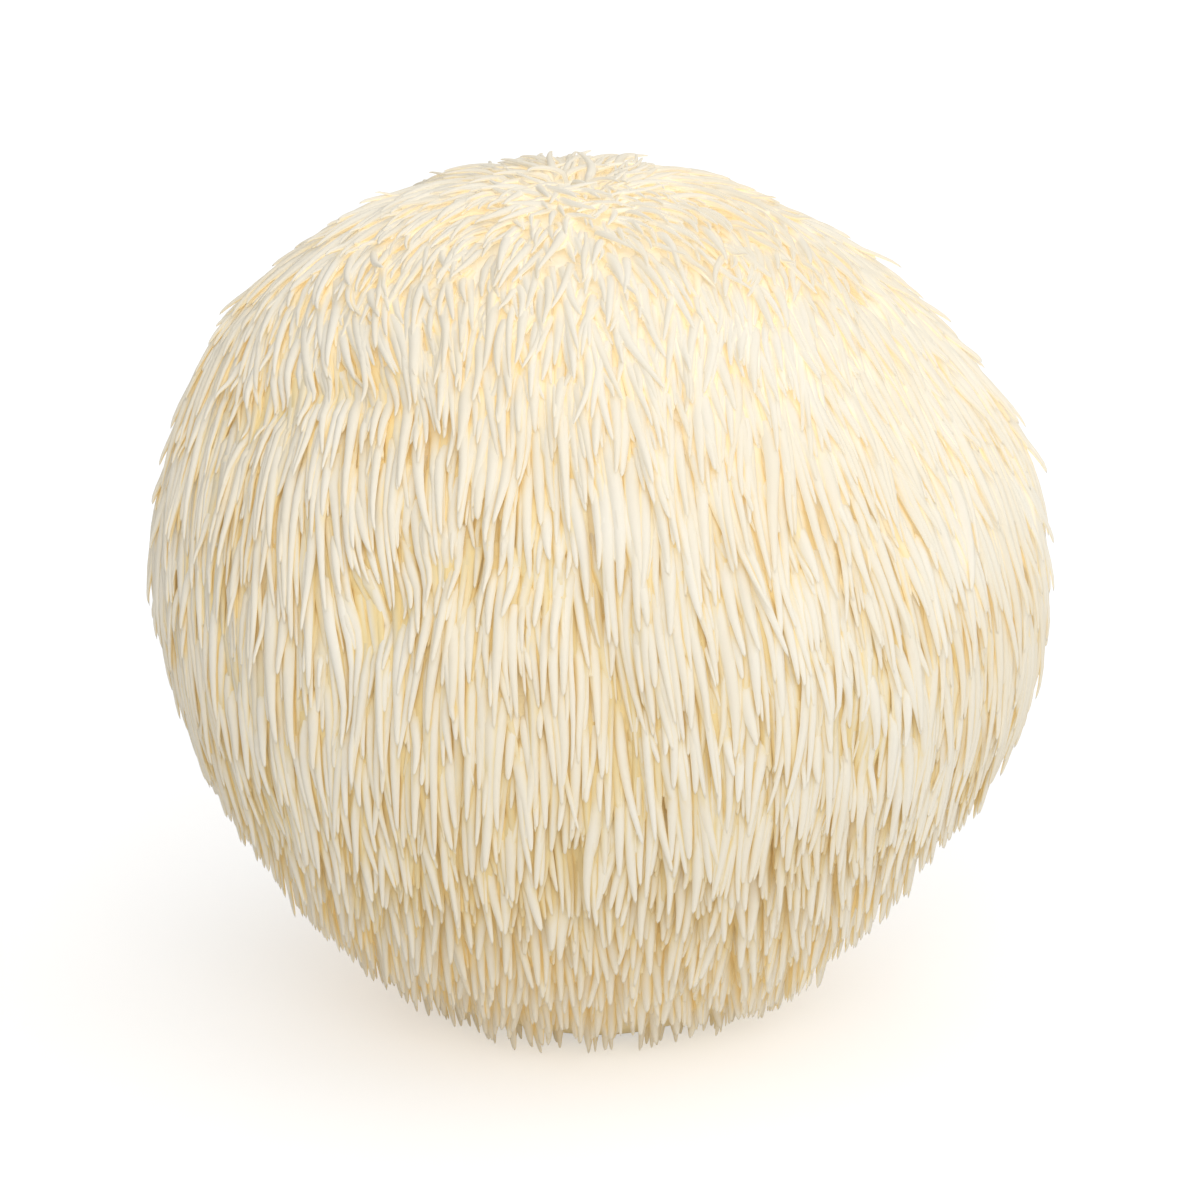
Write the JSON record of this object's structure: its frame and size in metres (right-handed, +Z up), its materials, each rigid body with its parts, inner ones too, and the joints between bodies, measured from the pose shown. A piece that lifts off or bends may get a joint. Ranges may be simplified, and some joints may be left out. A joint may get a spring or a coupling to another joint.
{
  "type": "lion's mane mushroom",
  "caption": "Round lion's mane mushroom fruiting body covered in hanging cream spines, cut off flat underneath so that it rests on the cut.",
  "frame": {"origin": "middle of the bounding box, at the height of the flat cut that the body rests on", "axes": "+Z up from the cut to the crown; -Y towards the side that the picture shows; +X to the right as seen in the picture"},
  "size_m": [0.13, 0.1208, 0.1249],
  "materials": {
    "cream_spines": null
  },
  "bodies": {
    "root": {"fruiting_body": "cream_spines"}
  },
  "joints": []
}
